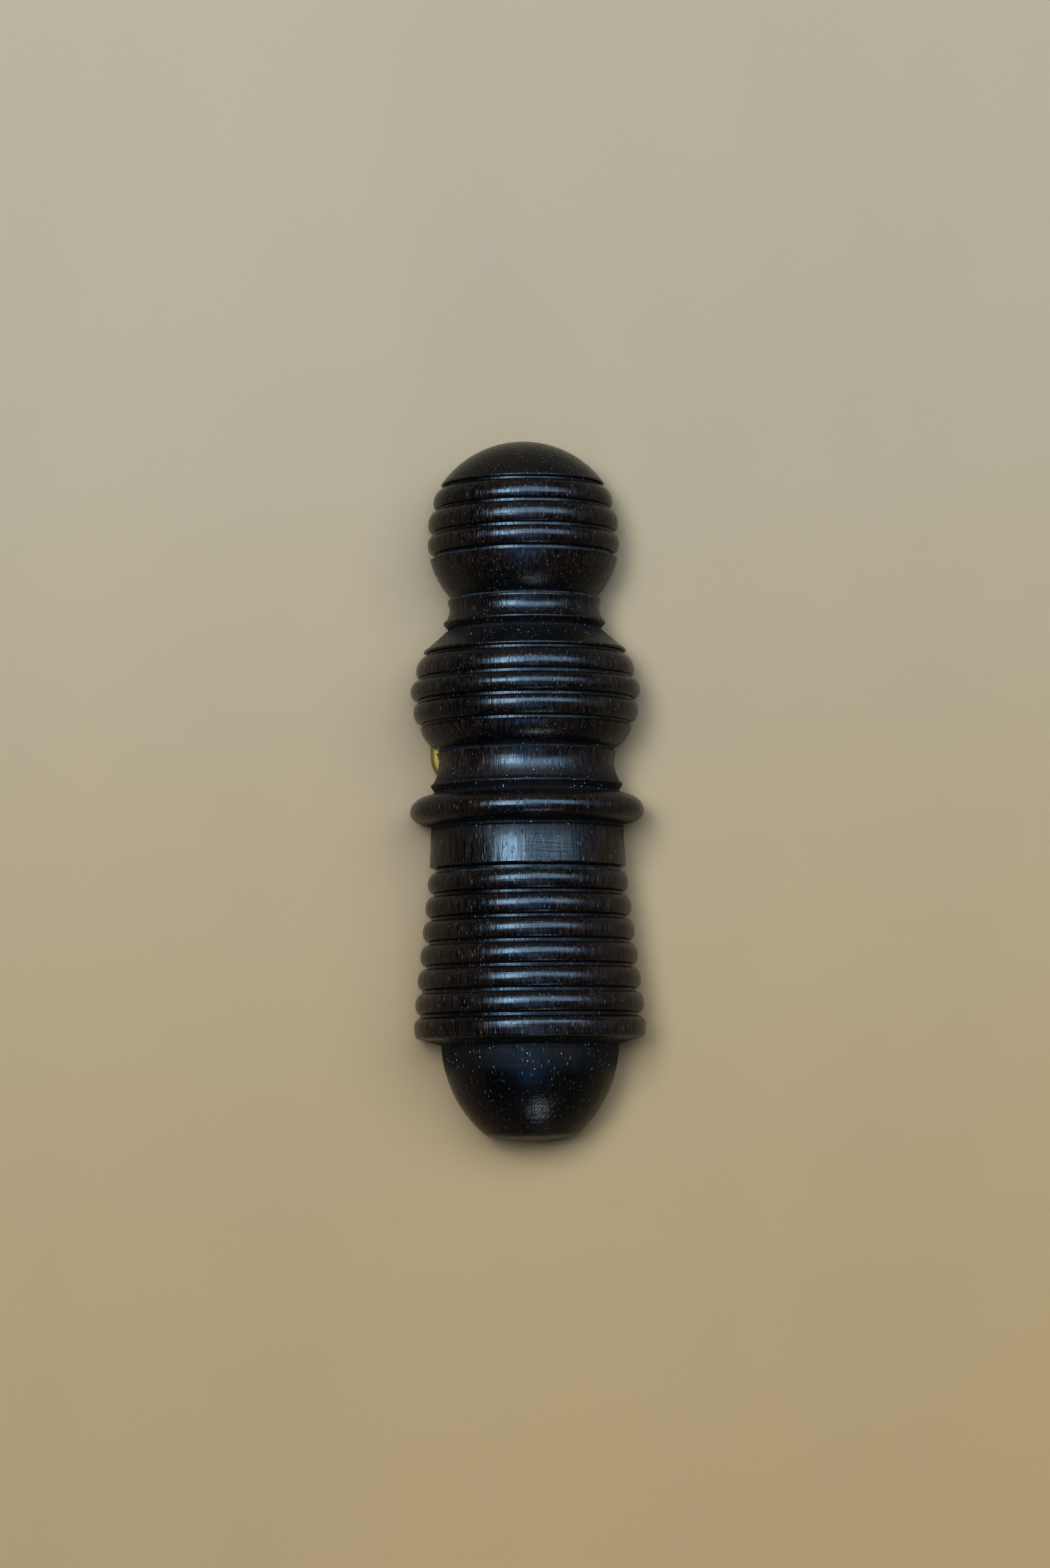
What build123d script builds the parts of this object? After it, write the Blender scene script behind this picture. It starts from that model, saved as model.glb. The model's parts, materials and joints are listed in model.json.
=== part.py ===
from build123d import *
import math
import os

# Covered keyhole escutcheon: a half-round turned wooden cover that hangs on a
# brass back plate by one pivot screw and swings aside to uncover the keyhole.
#
# Frame: the back plate lies against the door on z = 0 and +Z points away from
# the door.  The origin is the centre of the round part of the keyhole, +Y points
# up towards the head of the cover.  All sizes are in millimetres.

os.makedirs("parts", exist_ok=True)

# ---- driving dimensions -------------------------------------------------------

plate_thickness = 2.0
plate_edge_round = 0.6

cover_gap = 0.4          # between the plate's face and the flat back of the cover
cover_back = plate_thickness + cover_gap

pivot_height = 33.2      # pivot above the keyhole centre
pivot_drop = 13.1        # pivot below the top of the cover, at the head's centre

rest_swing = 0.8         # degrees the hanging cover stands clockwise of the plate
pivot_offset = 0.9       # the cover's centre line passes this far beside the pivot

# The turned profile is given by its drop from the top of the cover and its radius.
crown_radius = 13.7
lip = (5.75, 11.15)
groove_half = 0.18
head_grooves = ((6.3, 10.7), (9.45, 11.88), (12.75, 12.38), (15.8, 12.12))
head_bead_rise = 0.9

bulb_grooves = ((29.4, 13.45), (32.7, 14.5), (35.8, 14.75), (38.95, 14.25))
bulb_rises = (0.85, 1.1, 0.85)

torus_top = 48.6
torus_tip = 50.85
torus_bottom = 52.7
torus_radius = 16.0
torus_root = 13.1

band_top_radius = 13.15
band_bottom_radius = 13.4
scribe_drop = 53.2
scribe_depth = 0.12

stack_top = 58.9         # first groove of the graduated bead stack
stack_pitch = 3.29
stack_step = 0.385       # each groove is cut this much wider than the one above
stack_first_radius = 12.5
stack_beads = 6
stack_rise = 0.98

foot_radius = 15.8       # last and widest bead
foot_bottom = 82.6

acorn_radius = 12.1
acorn_shoulder = (94.2, 6.95)
acorn_end_edge = (95.15, 5.1)
cover_length = 95.7

# Pivot screw and washer
shank_radius = 1.42
shank_clearance = 0.08
screw_head_radius = 2.9
screw_head_recess = 0.1
screw_slot_width = 0.6
screw_slot_depth = 0.5
thread_radius = 1.25
thread_length = 8.5
thread_tip = 1.5
washer_radius = 4.2
washer_clearance = 0.05

# Keyhole and fixing holes
keyhole_radius = 3.2
keyhole_slot_width = 2.6
keyhole_slot_drop = 10.2
fixing_heights = (11.5, -28.5)
fixing_radius = 1.6
fixing_head_radius = 3.1

# Back plate outline: corners of its right half, each with its rounding radius.
head_lobe_radius = 10.8
plate_neck = 8.0
plate_shoulder = 12.6
plate_waist = 10.6
plate_foot = 15.35
plate_bottom = -34.8
plate_corners = (
    ((plate_neck, pivot_height - 7.25), 4.0),
    ((plate_neck, 17.5), 3.0),
    ((plate_shoulder, 17.5), 3.0),
    ((plate_shoulder, 1.9), 3.4),
    ((plate_waist, -0.4), 3.0),
    ((plate_waist, -14.5), 36.0),
    ((14.45, -27.5), 14.0),
    ((plate_foot, plate_bottom), 2.0),
)


# ---- turned profile -----------------------------------------------------------

def at(drop, radius):
    """Profile point in the cover's own plane, where x is the radius and y = 0 is the pivot."""
    return (radius, pivot_drop - drop)


def groove_floor(drop, radius):
    """The narrow flat left by the tip of the parting tool."""
    Line(at(drop - groove_half, radius), at(drop + groove_half, radius))


def bead(upper, lower, rise):
    """A half-elliptical bead from one groove floor to the next, standing rise above them."""
    start = Vector(at(upper[0] + groove_half, upper[1]))
    end = Vector(at(lower[0] - groove_half, lower[1]))
    chord = end - start
    slope = math.degrees(math.atan2(chord.Y, chord.X))
    EllipticalCenterArc((start + end) / 2, chord.length / 2, rise, arc_size=180, rotation=slope)


def head_profile():
    """Domed crown with a sharp lip, three beads and the plain lower half of the ball."""
    dome_drop = lip[0] / 2
    dome_middle = at(dome_drop, math.sqrt(dome_drop * (2 * crown_radius - dome_drop)))
    lip_end = at(lip[0] + 0.3, lip[1] - 0.08)
    first_drop, first_radius = head_grooves[0]
    last_drop, last_radius = head_grooves[-1]
    ThreePointArc(at(0, 0), dome_middle, at(*lip))
    ThreePointArc(at(*lip), at(lip[0] + 0.17, lip[1] + 0.04), lip_end)
    Line(lip_end, at(first_drop - groove_half, first_radius))
    for upper, lower in zip(head_grooves, head_grooves[1:]):
        groove_floor(*upper)
        bead(upper, lower, head_bead_rise)
    groove_floor(last_drop, last_radius)
    Line(at(last_drop + groove_half, last_radius), at(16.25, 12.85))
    ThreePointArc(at(16.25, 12.85), at(18.9, 11.82), at(21.35, 10.1))


def upper_neck_profile():
    """Small quirk, shallow hollow, sharp ring and the sloping shoulder of the bulb."""
    Line(at(21.35, 10.1), at(21.6, 10.02))
    ThreePointArc(at(21.6, 10.02), at(21.78, 10.38), at(22.15, 10.48))
    ThreePointArc(at(22.15, 10.48), at(22.95, 10.27), at(24.3, 10.58))
    ThreePointArc(at(24.3, 10.58), at(24.62, 10.76), at(24.8, 11.0))
    ThreePointArc(at(24.8, 11.0), at(25.02, 11.1), at(25.25, 10.98))
    Line(at(25.25, 10.98), at(25.85, 10.4))
    ThreePointArc(at(25.85, 10.4), at(27.4, 12.12), at(28.7, 13.75))
    ThreePointArc(at(28.7, 13.75), at(28.95, 13.86), at(29.15, 13.72))
    Line(at(29.15, 13.72), at(bulb_grooves[0][0] - groove_half, bulb_grooves[0][1]))


def bulb_profile():
    """Three beads of the second bulb and its plain underside."""
    for upper, lower, rise in zip(bulb_grooves, bulb_grooves[1:], bulb_rises):
        groove_floor(*upper)
        bead(upper, lower, rise)
    last_drop, last_radius = bulb_grooves[-1]
    groove_floor(last_drop, last_radius)
    Line(at(last_drop + groove_half, last_radius), at(39.4, 14.42))
    ThreePointArc(at(39.4, 14.42), at(41.15, 13.58), at(42.3, 12.05))


def lower_neck_profile():
    """Hollow neck between the second bulb and the torus, with a ring at its foot."""
    Line(at(42.3, 12.05), at(42.5, 11.98))
    Line(at(42.5, 11.98), at(42.85, 12.28))
    ThreePointArc(at(42.85, 12.28), at(44.5, 12.03), at(46.5, 12.55))
    ThreePointArc(at(46.5, 12.55), at(46.86, 12.76), at(47.05, 13.0))
    ThreePointArc(at(47.05, 13.0), at(47.28, 13.1), at(47.5, 12.98))
    Line(at(47.5, 12.98), at(48.1, 12.6))
    Line(at(48.1, 12.6), at(torus_top, torus_root))


def torus_profile():
    """The large ring: two quarter ellipses, the upper one taller."""
    reach = torus_radius - torus_root
    middle = at(torus_tip, torus_root)
    EllipticalCenterArc(middle, reach, torus_tip - torus_top, start_angle=0, arc_size=90)
    EllipticalCenterArc(middle, reach, torus_bottom - torus_tip, start_angle=270, arc_size=90)
    Line(at(torus_bottom, torus_root), at(torus_bottom, band_top_radius))


def band_profile():
    """The plain band, with a scribed line just below the torus."""
    band_end = stack_top - 0.5
    Polyline(
        at(torus_bottom, band_top_radius),
        at(scribe_drop - scribe_depth, band_top_radius),
        at(scribe_drop, band_top_radius - scribe_depth),
        at(scribe_drop + scribe_depth, band_top_radius),
        at(band_end - 0.15, band_bottom_radius),
        at(band_end, band_bottom_radius - 0.1),
        at(stack_top - groove_half, stack_first_radius),
    )


def stack_profile():
    """Graduated beads, each wider than the one above, down to the foot bead."""
    grooves = []
    for number in range(stack_beads + 1):
        groove_drop = stack_top + number * stack_pitch
        grooves.append((groove_drop, stack_first_radius + number * stack_step))
    for upper, lower in zip(grooves, grooves[1:]):
        groove_floor(*upper)
        bead(upper, lower, stack_rise)
    last_drop, last_radius = grooves[-1]
    groove_floor(last_drop, last_radius)
    # The foot bead is flatter than the rest, with a rounded lower edge
    foot_start = at(last_drop + groove_half, last_radius)
    foot_crest = at(foot_bottom - 2.6, foot_radius)
    foot_shoulder = at(foot_bottom - 1.45, foot_radius - 0.12)
    foot_edge = at(foot_bottom - 0.85, foot_radius - 0.75)
    ThreePointArc(foot_start, at(last_drop + 0.5, foot_radius - 0.35), foot_crest)
    ThreePointArc(foot_crest, at(foot_bottom - 2.0, foot_radius - 0.02), foot_shoulder)
    ThreePointArc(foot_shoulder, at(foot_bottom - 1.0, foot_radius - 0.33), foot_edge)
    Line(foot_edge, at(foot_bottom, acorn_radius))


def acorn_profile():
    """The acorn below the foot bead, closed by a shallow domed end."""
    ThreePointArc(at(foot_bottom, acorn_radius), at(89.7, 10.3), at(*acorn_shoulder))
    ThreePointArc(at(*acorn_shoulder), at(94.85, 6.15), at(*acorn_end_edge))
    end_middle = at(cover_length - 0.14, acorn_end_edge[1] / 2)
    ThreePointArc(at(*acorn_end_edge), end_middle, at(cover_length, 0))


# ---- cover --------------------------------------------------------------------

swing = math.radians(rest_swing)
cover_plane = Plane(
    origin=(pivot_offset, pivot_height, cover_back),
    x_dir=(math.cos(swing), -math.sin(swing), 0),
    z_dir=(0, 0, 1),
)
cover_axis = Axis((pivot_offset, pivot_height, cover_back), -cover_plane.y_dir)

with BuildPart() as cover:
    with BuildSketch(cover_plane):
        with BuildLine():
            head_profile()
            upper_neck_profile()
            bulb_profile()
            lower_neck_profile()
            torus_profile()
            band_profile()
            stack_profile()
            acorn_profile()
            Line(at(cover_length, 0), at(0, 0))
        make_face()
    revolve(axis=cover_axis, revolution_arc=180)
    # Pilot hole for the pivot screw, bored from the flat back
    with BuildSketch(Plane.XY.offset(cover_back)):
        with Locations((0, pivot_height)):
            Circle(thread_radius + 0.03)
    extrude(amount=thread_length + 0.5, mode=Mode.SUBTRACT)

cover.part.label = "cover"
export_step(cover.part, "parts/cover.step")


# ---- back plate ---------------------------------------------------------------

with BuildPart() as back_plate:
    with BuildSketch():
        with BuildLine():
            Polyline(
                (0, pivot_height),
                (plate_neck, pivot_height),
                *[corner for corner, radius in plate_corners[1:]],
                (0, plate_bottom),
                close=True,
            )
        make_face()
        mirror(about=Plane.YZ)
        with Locations((0, pivot_height)):
            Circle(head_lobe_radius)
    extrude(amount=plate_thickness)
    for (corner_x, corner_y), radius in plate_corners:
        for side in (1, -1):
            corner = Vector(side * corner_x, corner_y, plate_thickness / 2)
            upright = back_plate.edges().filter_by(Axis.Z).sort_by_distance(corner)[0]
            fillet(upright, radius)
    front_rim = back_plate.faces().sort_by(Axis.Z)[-1].outer_wire().edges()
    fillet(front_rim, plate_edge_round)

    # Keyhole: round above, straight slot with a rounded end below
    with BuildSketch():
        Circle(keyhole_radius)
        with Locations((0, -keyhole_slot_drop / 2)):
            Rectangle(keyhole_slot_width, keyhole_slot_drop)
        with Locations((0, -keyhole_slot_drop)):
            Circle(keyhole_slot_width / 2)
    extrude(amount=plate_thickness, mode=Mode.SUBTRACT)

    # Fixing holes, countersunk from the front
    with Locations(*[(0, height, plate_thickness) for height in fixing_heights]):
        CounterSinkHole(fixing_radius, fixing_head_radius, plate_thickness, 90)

    # Pivot hole, countersunk from the back for the pivot screw's head
    with Locations(Plane(origin=(0, pivot_height, 0), z_dir=(0, 0, -1))):
        CounterSinkHole(
            shank_radius + shank_clearance,
            screw_head_radius + shank_clearance + screw_head_recess,
            plate_thickness,
            90,
        )

back_plate.part.label = "back_plate"
export_step(back_plate.part, "parts/back_plate.step")


# ---- pivot screw and washer ---------------------------------------------------

cone_height = screw_head_radius - shank_radius
screw_plane = Plane(origin=(0, pivot_height, screw_head_recess), x_dir=(1, 0, 0), z_dir=(0, -1, 0))
thread_start = cover_back - screw_head_recess
thread_end = thread_start + thread_length

with BuildPart() as pivot_screw:
    with BuildSketch(screw_plane):
        with BuildLine():
            Polyline(
                (0, 0),
                (screw_head_radius, 0),
                (shank_radius, cone_height),
                (shank_radius, thread_start - 0.1),
                (thread_radius, thread_start),
                (thread_radius, thread_end - thread_tip),
                (0.2, thread_end),
                (0, thread_end),
                close=True,
            )
        make_face()
    revolve(axis=Axis((0, pivot_height, 0), (0, 0, 1)))
    # Screwdriver slot in the head, open to the back of the plate
    with BuildSketch(Plane.XY.offset(screw_head_recess)):
        with Locations((0, pivot_height)):
            Rectangle(2 * screw_head_radius, screw_slot_width, rotation=35)
    extrude(amount=screw_slot_depth, mode=Mode.SUBTRACT)

pivot_screw.part.label = "pivot_screw"
export_step(pivot_screw.part, "parts/pivot_screw.step")

with BuildPart() as pivot_washer:
    with BuildSketch(Plane.XY.offset(plate_thickness + washer_clearance)):
        with Locations((0, pivot_height)):
            Circle(washer_radius)
            Circle(shank_radius + shank_clearance, mode=Mode.SUBTRACT)
    extrude(amount=cover_gap - washer_clearance)

pivot_washer.part.label = "pivot_washer"
export_step(pivot_washer.part, "parts/pivot_washer.step")
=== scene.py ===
import json
import math

import bmesh
import bpy
from mathutils import Matrix, Vector, noise


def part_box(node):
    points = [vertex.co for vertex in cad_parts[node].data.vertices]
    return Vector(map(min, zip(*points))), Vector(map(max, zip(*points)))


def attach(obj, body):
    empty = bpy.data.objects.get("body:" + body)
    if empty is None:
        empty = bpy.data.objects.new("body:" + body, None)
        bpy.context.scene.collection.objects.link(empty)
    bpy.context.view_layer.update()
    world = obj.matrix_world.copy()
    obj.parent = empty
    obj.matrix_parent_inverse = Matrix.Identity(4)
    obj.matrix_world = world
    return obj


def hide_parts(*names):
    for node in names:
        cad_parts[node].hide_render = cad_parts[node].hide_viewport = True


# Covered keyhole escutcheon: an ebonised turned cover lying on its brass back plate.
# Lengths are in metres, in the frame of the CAD part: +Z away from the door, +Y towards
# the head of the cover, origin at the keyhole.

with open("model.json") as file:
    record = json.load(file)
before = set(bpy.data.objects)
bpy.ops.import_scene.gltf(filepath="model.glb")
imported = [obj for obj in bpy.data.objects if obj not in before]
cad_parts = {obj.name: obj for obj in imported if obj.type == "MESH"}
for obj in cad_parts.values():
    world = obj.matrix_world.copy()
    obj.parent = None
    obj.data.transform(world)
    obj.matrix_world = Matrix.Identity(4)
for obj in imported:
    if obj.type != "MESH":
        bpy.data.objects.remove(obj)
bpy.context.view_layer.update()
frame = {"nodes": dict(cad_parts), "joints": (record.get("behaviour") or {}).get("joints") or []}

MM = 0.001

# The cover hangs a little clockwise of the plate, and its centre line passes beside the pivot.
REST_SWING = math.radians(0.8)
PIVOT_OFFSET = 0.9 * MM

pivot = Vector(frame["joints"][0]["pos_m"])
back_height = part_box("cover")[0].z
cover_place = (
    Matrix.Translation((PIVOT_OFFSET, pivot.y, back_height)) @ Matrix.Rotation(-REST_SWING, 4, "Z")
)


# ---- shader helpers -------------------------------------------------------------

def node(tree, kind, inputs=None, **settings):
    """Adds a shader node. Inputs are values or the output sockets they are linked from."""
    made = tree.nodes.new("ShaderNode" + kind)
    for name, value in settings.items():
        setattr(made, name, value)
    for name, value in (inputs or {}).items():
        if isinstance(value, bpy.types.NodeSocket):
            tree.links.new(value, made.inputs[name])
        else:
            made.inputs[name].default_value = value
    return made


def calc(tree, operation, first, second=0.0, clamp=False):
    made = node(tree, "Math", {0: first, 1: second}, operation=operation, use_clamp=clamp)
    return made.outputs[0]


def times(tree, first, second):
    return calc(tree, "MULTIPLY", first, second)


def weighted_sum(tree, parts, start=None, clamp=False):
    """Adds up (value, weight) pairs, from a starting number if there is one."""
    total = start
    for index, (value, weight) in enumerate(parts):
        share = times(tree, value, weight)
        last = index == len(parts) - 1
        total = share if total is None else calc(tree, "ADD", share, total, clamp and last)
    return total


def fade(tree, value, start, end, low=0.0, high=1.0):
    """Maps value from start..end to low..high with soft ends."""
    made = node(
        tree,
        "MapRange",
        {"Value": value, "From Min": start, "From Max": end, "To Min": low, "To Max": high},
        interpolation_type="SMOOTHSTEP",
    )
    return made.outputs[0]


def blend_colour(tree, factor, first, second):
    """The first colour at factor 0 and the second at factor 1. Plain colours are (r, g, b)."""
    ends = [end if isinstance(end, bpy.types.NodeSocket) else (*end, 1) for end in (first, second)]
    made = node(tree, "Mix", {0: factor, 6: ends[0], 7: ends[1]}, data_type="RGBA")
    return made.outputs[2]


def stretched(tree, scale):
    """Millimetres along the grain (Y) and across it, each axis multiplied by its scale."""
    place = node(tree, "TexCoord").outputs["Object"]
    turn = (0.0, 0.0, REST_SWING)
    per_metre = [factor / MM for factor in scale]
    grain = node(tree, "Mapping", {"Vector": place, "Rotation": turn}).outputs[0]
    return node(tree, "Mapping", {"Vector": grain, "Scale": per_metre}).outputs[0]


def noise_at(tree, scale, detail=4.0, roughness=0.55):
    made = node(
        tree,
        "TexNoise",
        {"Vector": stretched(tree, scale), "Scale": 1.0, "Detail": detail, "Roughness": roughness},
    )
    return made.outputs[0]


SPECK_CORE = 0.55    # a speck is solid up to this share of its size


def specks(tree, scale, size, share):
    """Soft-edged spots, one in each cell of a jittered lattice, kept for a share of the cells."""
    cells = node(tree, "TexVoronoi", {"Vector": stretched(tree, scale), "Scale": 1.0})
    spot = fade(tree, cells.outputs["Distance"], size, size * SPECK_CORE)
    lottery = node(tree, "SeparateColor", {0: cells.outputs["Color"]}).outputs[0]
    kept = calc(tree, "LESS_THAN", lottery, share)
    return times(tree, spot, kept)


def mesh_value(tree, name):
    return node(tree, "Attribute", attribute_name=name).outputs["Fac"]


def new_material(name):
    material = bpy.data.materials.new(name)
    material.use_nodes = True
    tree = material.node_tree
    return material, tree, tree.nodes["Principled BSDF"]


def wire(tree, shader, **sockets):
    for name, value in sockets.items():
        tree.links.new(value, shader.inputs[name.replace("_", " ")])


def bumped(tree, height, depth):
    """A normal for a height pattern, where depth is how far one unit of height stands out."""
    made = node(tree, "Bump", {"Height": height, "Strength": 1.0, "Distance": depth})
    return made.outputs[0]


# ---- materials ------------------------------------------------------------------

BLACK_STAIN = (0.0009, 0.0008, 0.0010)
BROWN_STREAK = (0.0070, 0.0029, 0.0015)
OPEN_PORE = (0.0006, 0.0005, 0.0005)
FILLED_PORE = (0.062, 0.061, 0.062)
RUBBED_BROWN = (0.034, 0.0140, 0.0068)
# Painted highlight: the bluish grey line along the lips just below the grooves
LIP_PAINTED_HIGHLIGHT = (0.030, 0.033, 0.035)
DUST = (0.34, 0.36, 0.36)
WOOD_RELIEF = 0.022 * MM
WOOD_IOR = 1.30

POLISHED_BRASS = (0.84, 0.58, 0.18)
TARNISHED_BRASS = (0.64, 0.40, 0.11)
BRASS_SPOT = (0.22, 0.12, 0.035)
DULL_SHADED_BRASS = (0.52, 0.38, 0.11)
BRASS_RELIEF = 0.0006 * MM
FLAT_FACE = 0.9999       # upward part of the normal on a face that is still polished
ROUNDED_EDGE = 0.9980    # and on an edge that is fully dull, with painted shade in its colour

# The floor's change of colour along Y is painted light from the windows over the head
FLOOR_AT_FOOT = (0.175, 0.0765, 0.0170)
FLOOR_PAINTED_LIGHT_AT_HEAD = (0.169, 0.0895, 0.0370)
FLOOR_PAINTED_LIGHT_FADE = (-0.10, 0.09)    # along Y, from the foot colour to the head colour: painted light, bluer where the windows' light falls


def ebonised_wood():
    """Black-stained open-grained hardwood: brown streaks, long pores, tool rings and dust."""
    material, tree, shader = new_material("ebonised_wood")

    streaks = noise_at(tree, (3.4, 0.12, 3.4), 6.0, 0.66)
    patches = noise_at(tree, (0.16, 0.07, 0.16), 3.0)
    brown_share = fade(tree, weighted_sum(tree, [(patches, 0.9)], streaks), 0.86, 1.20)
    colour = blend_colour(tree, brown_share, BLACK_STAIN, BROWN_STREAK)

    long_pores = specks(tree, (2.3, 0.34, 2.3), 0.30, 0.70)
    short_pores = specks(tree, (3.6, 0.75, 3.6), 0.26, 0.45)
    pores = calc(tree, "MAXIMUM", long_pores, short_pores)
    colour = blend_colour(tree, times(tree, pores, 0.5), colour, OPEN_PORE)
    filled_pores = specks(tree, (2.8, 0.60, 2.8), 0.24, 0.34)
    colour = blend_colour(tree, times(tree, filled_pores, 0.8), colour, FILLED_PORE)

    # Rubbed brown on the crests, a painted highlight in grey along the lips below the grooves, dust in
    # the hollows
    rubbing = fade(tree, noise_at(tree, (3.0, 0.25, 3.0), 4.0, 0.62), 0.42, 0.68)
    crest = times(tree, mesh_value(tree, "crest"), rubbing)
    colour = blend_colour(tree, times(tree, crest, 0.50), colour, RUBBED_BROWN)
    hollow = fade(tree, mesh_value(tree, "hollow"), 0.10, 0.95)
    patchy_highlight = fade(tree, noise_at(tree, (1.1, 0.5, 1.1)), 0.25, 0.60)
    lip_highlight_mask = times(tree, mesh_value(tree, "lip_highlight_mask"), patchy_highlight)
    lip_highlight_mask = times(tree, lip_highlight_mask, calc(tree, "SUBTRACT", 1.0, hollow))
    # The grey on the lips is a painted highlight, the thin bright line that light draws below each
    # groove
    colour = blend_colour(tree, lip_highlight_mask, colour, LIP_PAINTED_HIGHLIGHT)
    dustiness = calc(tree, "ADD", hollow, 0.09, clamp=True)
    dust = times(tree, specks(tree, (2.2, 2.2, 2.2), 0.20, 0.18), dustiness)
    colour = blend_colour(tree, dust, colour, DUST)

    fibres = noise_at(tree, (6.5, 0.26, 6.5), 4.0, 0.6)
    broad_fibres = noise_at(tree, (1.6, 0.11, 1.6), 2.0)
    tool_rings = noise_at(tree, (0.12, 3.4, 0.12), 4.0, 0.65)
    roughening = [(fibres, 0.12), (pores, 0.25), (hollow, 0.42), (dust, 0.4)]
    roughness = weighted_sum(tree, roughening, 0.11, clamp=True)
    relief_parts = [(fibres, 1.1), (broad_fibres, 2.2), (tool_rings, 1.3), (pores, -0.6), (dust, 1.5)]
    normal = bumped(tree, weighted_sum(tree, relief_parts), WOOD_RELIEF)
    sheen = weighted_sum(tree, [(hollow, -0.20)], 0.5)

    wire(tree, shader, Base_Color=colour, Roughness=roughness, Normal=normal)
    wire(tree, shader, Specular_IOR_Level=sheen)
    shader.inputs["IOR"].default_value = WOOD_IOR
    return material


def brass(name, polished, tarnish_share):
    """Yellow brass with fine scratches and patches of brown tarnish, dull at its edges and sides, where
    a darker colour is painted shade.
    """
    material, tree, shader = new_material(name)
    tarnish = fade(tree, noise_at(tree, (0.35, 0.35, 0.35), 5.0), 0.58 - tarnish_share, 0.74)
    spots = specks(tree, (0.9, 0.9, 0.9), 0.30, 0.25)
    colour = blend_colour(tree, tarnish, POLISHED_BRASS, TARNISHED_BRASS)
    colour = blend_colour(tree, times(tree, spots, 0.45), colour, BRASS_SPOT)
    surface_normal = node(tree, "NewGeometry").outputs["Normal"]
    facing_up = node(tree, "SeparateXYZ", {0: surface_normal}).outputs["Z"]
    # Edges and sides turned away from straight up get a rougher finish and a darker colour; the darker
    # colour is painted shade
    dull_and_shaded = fade(tree, facing_up, FLAT_FACE, ROUNDED_EDGE)
    colour = blend_colour(tree, dull_and_shaded, colour, DULL_SHADED_BRASS)

    scratches = noise_at(tree, (0.7, 14.0, 0.7), 3.0)
    cross = noise_at(tree, (11.0, 0.9, 2.0), 2.0)
    roughening = [(tarnish, 0.25), (dull_and_shaded, 0.5), (cross, 0.08)]
    roughness = weighted_sum(tree, roughening, polished, clamp=True)
    normal = bumped(tree, weighted_sum(tree, [(cross, 0.6)], scratches), BRASS_RELIEF)
    wire(tree, shader, Base_Color=colour, Roughness=roughness, Normal=normal)
    shader.inputs["Metallic"].default_value = 1.0
    return material


def floor_material():
    """Pale and a little cloudy, warmer towards the foot of the part and bluer towards the head, which is
    painted window light.
    """
    material, tree, shader = new_material("pale_floor")
    along = node(tree, "SeparateXYZ", {0: node(tree, "TexCoord").outputs["Object"]}).outputs["Y"]
    # Painted light: the floor turns bluer towards the head, under the windows
    colour = blend_colour(tree, fade(tree, along, *FLOOR_PAINTED_LIGHT_FADE), FLOOR_AT_FOOT, FLOOR_PAINTED_LIGHT_AT_HEAD)
    cloudy = fade(tree, noise_at(tree, (0.02, 0.004, 0.02), 3.0), 0.2, 0.8, 0.97, 1.03)
    colour = node(tree, "VectorMath", {0: colour, "Scale": cloudy}, operation="SCALE").outputs[0]
    wire(tree, shader, Base_Color=colour)
    shader.inputs["Roughness"].default_value = 0.7
    return material


# ---- cover ----------------------------------------------------------------------

COLUMNS = 184            # steps round the half turning
BACK_COLUMNS = 16        # steps across the flat back
AROUND = COLUMNS + BACK_COLUMNS
LONGEST_STEP = 0.35 * MM    # along the profile
TOUCHING = 1e-7          # places closer than this are one place
AT_BACK = 1e-6           # a corner this close to the back plane is on it
FACING_BACK = -0.99      # a face whose normal has a lower Z than this is part of the back

TURNING_ERROR = 0.035 * MM
ERROR_SHARE = 0.2        # the turning error is never more than this share of the radius
ERROR_ALONG = 0.22       # how fast it changes, for each millimetre along
ERROR_AROUND = 1.6       # and for each radian round
SHARP_CORNER = math.radians(32)

# Wide hollows are measured under a blunt tip, and the valleys between beads under a fine one.
BLUNT_TIP = 0.12 / MM
FINE_TIP = 1.5 / MM
DEEP_HOLLOW = 3.0 * MM
DEEP_VALLEY = 0.10 * MM
CROWN_END = 6 * MM       # the hollows fade out over this much of the crown
ACORN_END = 9 * MM       # and this much of the acorn
ACORN_HEIGHT = 11 * MM   # no crests below this
ACORN_EDGE = 2 * MM

LIP_SLOPE = 0.40         # lips start where the profile rises by this much for its length
LIP_SLOPE_RANGE = 0.30
LIP_WIDTH = 0.9 * MM
LIP_EDGE = 0.4 * MM


def turned_profile(cad_cover):
    """Radius and height of the turned outline, from crown to acorn, in the cover's own frame.

    It is read from the right edge of the CAD cover's flat back."""
    solid = bmesh.new()
    solid.from_mesh(cad_cover.data)
    bmesh.ops.remove_doubles(solid, verts=solid.verts, dist=TOUCHING)
    solid.normal_update()
    to_cover = cover_place.inverted()
    beside = {}
    places = {}
    for edge in solid.edges:
        flat_faces = [face for face in edge.link_faces if face.normal.z < FACING_BACK]
        at_back = all(vertex.co.z < back_height + AT_BACK for vertex in edge.verts)
        if len(flat_faces) != 1 or not at_back:
            continue
        for vertex, other in (edge.verts, reversed(edge.verts)):
            beside.setdefault(vertex.index, []).append(other.index)
            places[vertex.index] = to_cover @ vertex.co
    solid.free()
    crown = max(places, key=lambda index: places[index].y)
    trail = [crown]
    step = max(beside[crown], key=lambda index: places[index].x)
    while places[step].x > TOUCHING:
        trail.append(step)
        step = next(index for index in beside[step] if index != trail[-2])
    trail.append(step)
    return [(max(places[index].x, 0.0), places[index].y) for index in trail]


def refined(profile):
    """The profile with its long straight runs divided."""
    points = [profile[0]]
    for (r0, y0), (r1, y1) in zip(profile, profile[1:]):
        parts = max(1, math.ceil(math.hypot(r1 - r0, y1 - y0) / LONGEST_STEP))
        for part in range(1, parts + 1):
            share = part / parts
            points.append((r0 + (r1 - r0) * share, y0 + (y1 - y0) * share))
    return points


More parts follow.
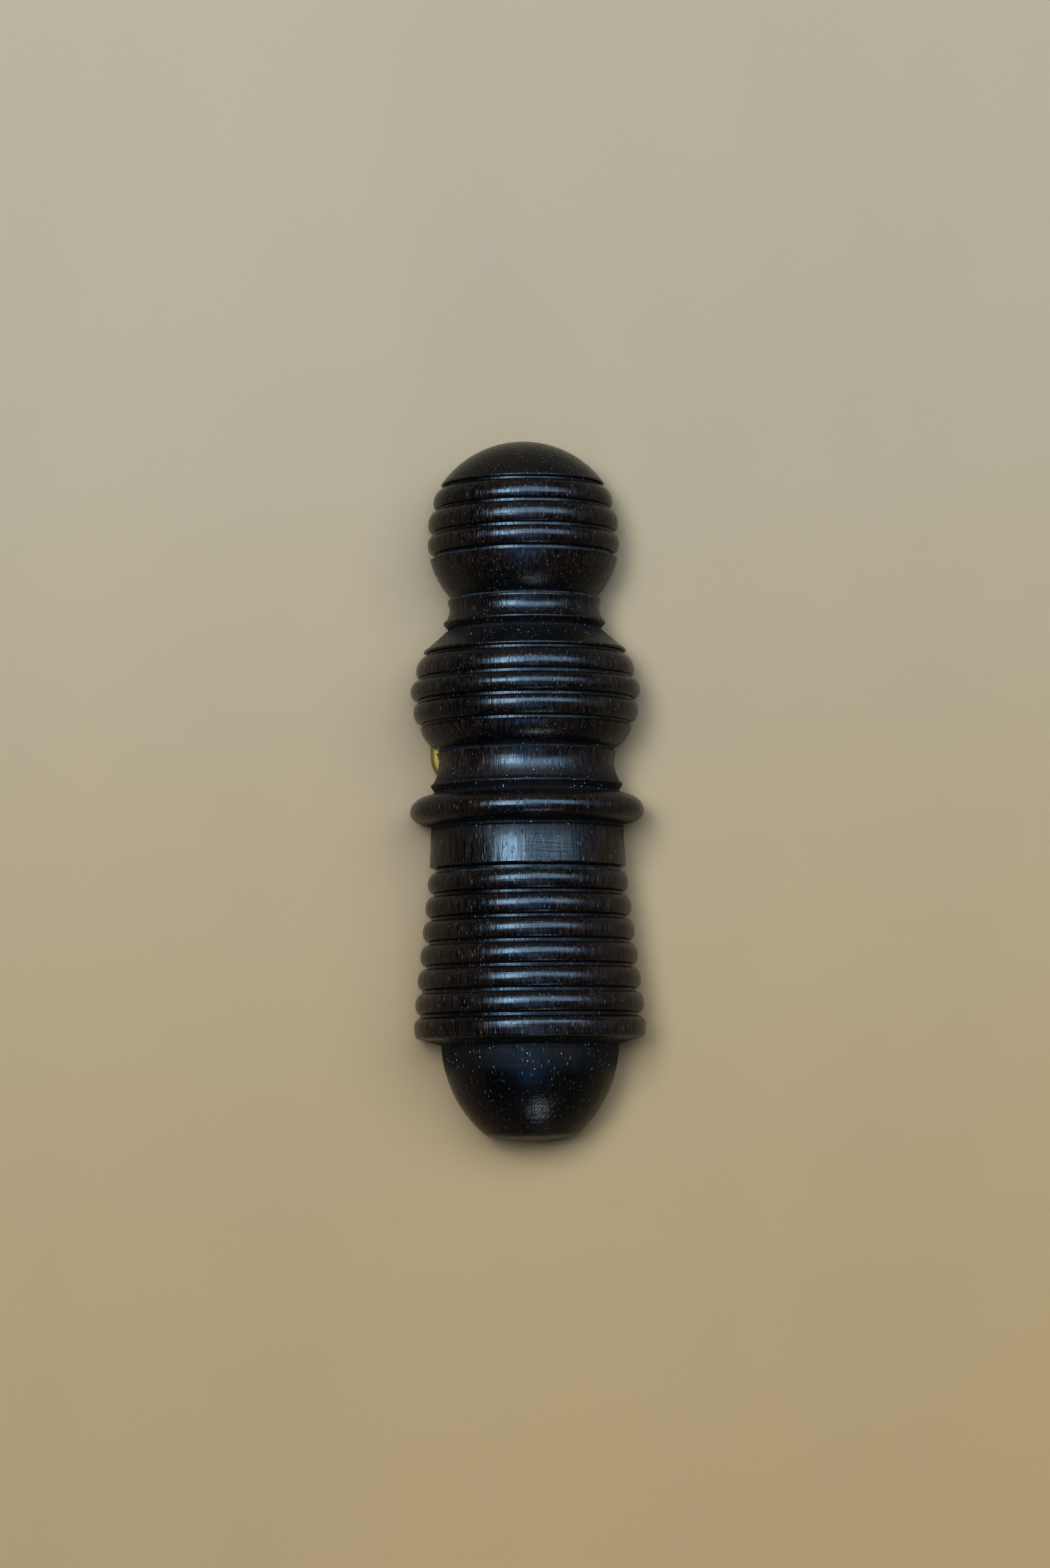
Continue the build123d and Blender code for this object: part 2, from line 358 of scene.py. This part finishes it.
def relief(points, sharpness):
    """For each profile point, how far it lies below a rounded tip that touches the profile."""
    depths = []
    for radius, height in points:
        touching = max(r - sharpness * (y - height) ** 2 for r, y in points)
        depths.append(touching - radius)
    return depths


def clamped(value):
    return min(1.0, max(0.0, value))


def groove_lips(points):
    """How strongly each profile point belongs to the steep lip just below a groove bottom."""
    strengths = [0.0]
    since_bottom = math.inf
    for before, here, after in zip(points, points[1:], points[2:]):
        step = math.hypot(here[0] - before[0], here[1] - before[1])
        since_bottom = 0.0 if here[0] < min(before[0], after[0]) else since_bottom + step
        rise = (after[0] - before[0]) / math.hypot(after[0] - before[0], after[1] - before[1])
        steepness = clamped((rise - LIP_SLOPE) / LIP_SLOPE_RANGE)
        nearness = clamped((LIP_WIDTH - since_bottom) / LIP_EDGE)
        strengths.append(steepness * nearness)
    return strengths + [0.0]


def turning_error(radius, height, angle):
    """Small inward unevenness left by hand turning and sanding."""
    around = (math.cos(angle) * ERROR_AROUND, math.sin(angle) * ERROR_AROUND)
    unevenness = noise.noise(Vector((height / MM * ERROR_ALONG, *around)))
    return min(TURNING_ERROR, radius * ERROR_SHARE) * (0.5 + 0.5 * unevenness)


def ring_places(radius, height):
    """One ring of the grid: round the front from right to left, and back across the flat side."""
    places = []
    for column in range(COLUMNS + 1):
        angle = math.pi * column / COLUMNS
        true_radius = radius - turning_error(radius, height, angle)
        places.append((true_radius * math.cos(angle), height, true_radius * math.sin(angle)))
    right = places[0][0]
    left = places[-1][0]
    for column in range(1, BACK_COLUMNS):
        places.append((left + (right - left) * column / BACK_COLUMNS, height, 0.0))
    return places


def half_turning(points):
    """A closed grid with a round front, a flat back and a pole at each end."""
    rings = points[1:-1]
    vertices = [place for radius, height in rings for place in ring_places(radius, height)]
    crown = len(vertices)
    acorn = crown + 1
    vertices += [(0.0, points[0][1], 0.0), (0.0, points[-1][1], 0.0)]
    faces = []
    for upper in range(0, crown - AROUND, AROUND):
        lower = upper + AROUND
        for column in range(AROUND):
            following = (column + 1) % AROUND
            faces.append((upper + column, upper + following, lower + following, lower + column))
    last = crown - AROUND
    for column in range(AROUND):
        following = (column + 1) % AROUND
        faces.append((crown, following, column))
        faces.append((acorn, last + column, last + following))
    mesh = bpy.data.meshes.new("cover_turning")
    mesh.from_pydata(vertices, [], faces)
    return mesh


def mark_wear_and_highlight_lips(mesh, rings):
    """Stores how hollow, how raised and how near a groove's lip each point of the turning is; the lip
    value places a painted highlight.
    """
    hollow = mesh.attributes.new("hollow", "FLOAT", "POINT")
    crest = mesh.attributes.new("crest", "FLOAT", "POINT")
    lip_highlight_mask = mesh.attributes.new("lip_highlight_mask", "FLOAT", "POINT")
    hollows = relief(rings, BLUNT_TIP)
    valleys = relief(rings, FINE_TIP)
    lips = groove_lips(rings)
    top = rings[0][1]
    bottom = rings[-1][1]
    for ring, (_, height) in enumerate(rings):
        off_the_ends = min(1.0, (top - height) / CROWN_END, (height - bottom) / ACORN_END) ** 2
        above_acorn = clamped((height - bottom - ACORN_HEIGHT) / ACORN_EDGE)
        for index in range(ring * AROUND, (ring + 1) * AROUND):
            hollow.data[index].value = off_the_ends * min(1.0, hollows[ring] / DEEP_HOLLOW)
            crest.data[index].value = above_acorn * max(0.0, 1.0 - valleys[ring] / DEEP_VALLEY)
            lip_highlight_mask.data[index].value = lips[ring]


def build_cover():
    points = refined(turned_profile(frame["nodes"]["cover"]))
    mesh = half_turning(points)
    mark_wear_and_highlight_lips(mesh, points[1:-1])
    mesh.polygons.foreach_set("use_smooth", [True] * len(mesh.polygons))
    mesh.set_sharp_from_angle(angle=SHARP_CORNER)
    mesh.transform(cover_place)
    mesh.update()

    cover = bpy.data.objects.new("cover_turning", mesh)
    bpy.context.scene.collection.objects.link(cover)
    mesh.materials.append(ebonised_wood())
    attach(cover, "cover")
    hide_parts("cover")
    return cover


# ---- brass pieces: the CAD nodes, with their own finishes -------------------------

def finish_node(name, material):
    piece = frame["nodes"][name]
    for slot in piece.material_slots:
        slot.material = material
    return piece


# ---- stage ----------------------------------------------------------------------

FLOOR_SIZE = 6.0
FLOOR_HEIGHT = -0.03 * MM    # just clear of the plate's underside

CAMERA_HEIGHT = 0.606
CAMERA_ALONG = -0.045        # the camera stands this far along Y from the keyhole
CAMERA_ROLL = math.radians(1.58)
VIEW_CENTRE = Vector((0.0002, -0.00055, 0.0))
SENSOR_HEIGHT = 36
FOCAL_LENGTH = 101.7
CONTRAST = 0.8               # display gamma: below 1 is a camera's stronger contrast

LIGHT_DISTANCE = 1.4
# Angles from straight overhead to a window's edges: left and right across X, low and high along Y
LEFT_WINDOW = (-31, -12, -1, 32)
RIGHT_WINDOW = (-12, 53, 7.5, 40)
BRASS_LIGHT = (0.85, 0.93, 1.0)

SKY_AT_HORIZON = (0.10, 0.09, 0.075)
SKY_OVERHEAD = (0.030, 0.032, 0.038)

# Soft glows in the sky: direction, angle of the full core, angle of the outer edge, colour
GLOWS = (
    ((0.02, -0.36, 0.93), 3, 24, (0.9, 2.3, 4.7)),
    ((0.0, 0.95, 0.30), 5, 35, (0.85, 0.82, 0.76)),
    ((-0.62, 0.14, 0.77), 2, 20, (0.8, 1.3, 1.8)),
    ((0.90, 0.12, 0.42), 3, 30, (0.7, 1.1, 1.5)),
    ((0.0, 0.0, 1.0), 5, 24, (0.48, 0.54, 0.60)),
)


def build_floor():
    floor = bpy.data.meshes.new("floor")
    half = FLOOR_SIZE / 2
    corners = [(-half, -half), (half, -half), (half, half), (-half, half)]
    floor.from_pydata([(x, y, FLOOR_HEIGHT) for x, y in corners], [], [(0, 1, 2, 3)])
    floor.materials.append(floor_material())
    piece = bpy.data.objects.new("floor", floor)
    bpy.context.scene.collection.objects.link(piece)
    return piece


def build_window(name, edges, radiance, colour, lit):
    """A rectangular light overhead, seen from the object between its edges.

    Its light and its reflection reach only the lit pieces."""
    left, right, low, high = [math.tan(math.radians(angle)) for angle in edges]
    light = bpy.data.lights.new(name, "AREA")
    light.shape = "RECTANGLE"
    light.size = (right - left) * LIGHT_DISTANCE
    light.size_y = (high - low) * LIGHT_DISTANCE
    light.color = colour
    light.energy = radiance * math.pi * light.size * light.size_y
    lamp = bpy.data.objects.new(name, light)
    lamp.location = Vector(((left + right) / 2, (low + high) / 2, 1.0)) * LIGHT_DISTANCE
    bpy.context.scene.collection.objects.link(lamp)
    lit_pieces = bpy.data.collections.new("lit_by_" + name)
    for piece in lit:
        lit_pieces.objects.link(piece)
    lamp.light_linking.receiver_collection = lit_pieces


def build_lamp(name, direction, size, radiance, colour):
    """A round light facing the object from a direction."""
    light = bpy.data.lights.new(name, "AREA")
    light.shape = "DISK"
    light.size = size
    light.color = colour
    light.energy = radiance * math.pi * math.pi * size * size / 4
    lamp = bpy.data.objects.new(name, light)
    lamp.location = Vector(direction).normalized() * LIGHT_DISTANCE
    lamp.rotation_euler = Vector(direction).to_track_quat("Z", "Y").to_euler()
    bpy.context.scene.collection.objects.link(lamp)


def glow(tree, place, direction, inner, outer, colour):
    """Light from round a direction, full within the inner angle and gone beyond the outer one."""
    centre = Vector(direction).normalized()
    closeness = node(tree, "VectorMath", {0: place, 1: centre}, operation="DOT_PRODUCT").outputs["Value"]
    share = fade(tree, closeness, math.cos(math.radians(outer)), math.cos(math.radians(inner)))
    return blend_colour(tree, share, (0, 0, 0), colour)


def build_world():
    """Dim surroundings, brighter towards the horizon, with soft glows."""
    world = bpy.data.worlds.new("studio")
    world.use_nodes = True
    tree = world.node_tree
    place = node(tree, "TexCoord").outputs["Generated"]
    height = node(tree, "SeparateXYZ", {0: place}).outputs["Z"]
    colour = blend_colour(tree, fade(tree, height, 0.0, 0.5), SKY_AT_HORIZON, SKY_OVERHEAD)
    for direction, inner, outer, tint in GLOWS:
        layers = {0: 1.0, 6: colour, 7: glow(tree, place, direction, inner, outer, tint)}
        colour = node(tree, "Mix", layers, data_type="RGBA", blend_type="ADD").outputs[2]
    tree.links.new(colour, tree.nodes["Background"].inputs["Color"])
    bpy.context.scene.world = world


def build_camera():
    """Looks down at the part from a little towards its foot."""
    position = Vector((VIEW_CENTRE.x, CAMERA_ALONG, CAMERA_HEIGHT))
    away = (position - VIEW_CENTRE).normalized()
    up = Vector((math.sin(CAMERA_ROLL), math.cos(CAMERA_ROLL), 0))
    right = up.cross(away).normalized()
    turn = Matrix((right, away.cross(right), away)).transposed().to_4x4()
    data = bpy.data.cameras.new("camera")
    data.sensor_fit = "VERTICAL"
    data.sensor_height = SENSOR_HEIGHT
    data.lens = FOCAL_LENGTH
    data.clip_start = 0.01
    camera = bpy.data.objects.new("camera", data)
    camera.matrix_world = Matrix.Translation(position) @ turn
    bpy.context.scene.collection.objects.link(camera)
    bpy.context.scene.camera = camera


cover = build_cover()
brass_pieces = [
    finish_node("back_plate", brass("plate_brass", polished=0.06, tarnish_share=0.04)),
    finish_node("pivot_screw", brass("screw_brass", polished=0.28, tarnish_share=0.10)),
    finish_node("pivot_washer", brass("washer_brass", polished=0.34, tarnish_share=0.08)),
]
wood_and_floor = [cover, build_floor()]

# Polished brass mirrors the windows much more than the wood does, so it has its own dim pair.
build_window("window_left", LEFT_WINDOW, 51.0, (0.50, 0.75, 1.0), lit=wood_and_floor)
build_window("window_right", RIGHT_WINDOW, 16.5, (0.44, 0.71, 1.0), lit=wood_and_floor)
build_window("brass_window_left", LEFT_WINDOW, 3.2, BRASS_LIGHT, lit=brass_pieces)
build_window("brass_window_right", RIGHT_WINDOW, 1.0, BRASS_LIGHT, lit=brass_pieces)
build_lamp("far_lamp", (0.15, -0.93, 0.36), size=0.20, radiance=46.0, colour=(0.75, 0.90, 1.0))
build_world()
build_camera()
bpy.context.scene.view_settings.view_transform = "Standard"
bpy.context.scene.view_settings.gamma = CONTRAST
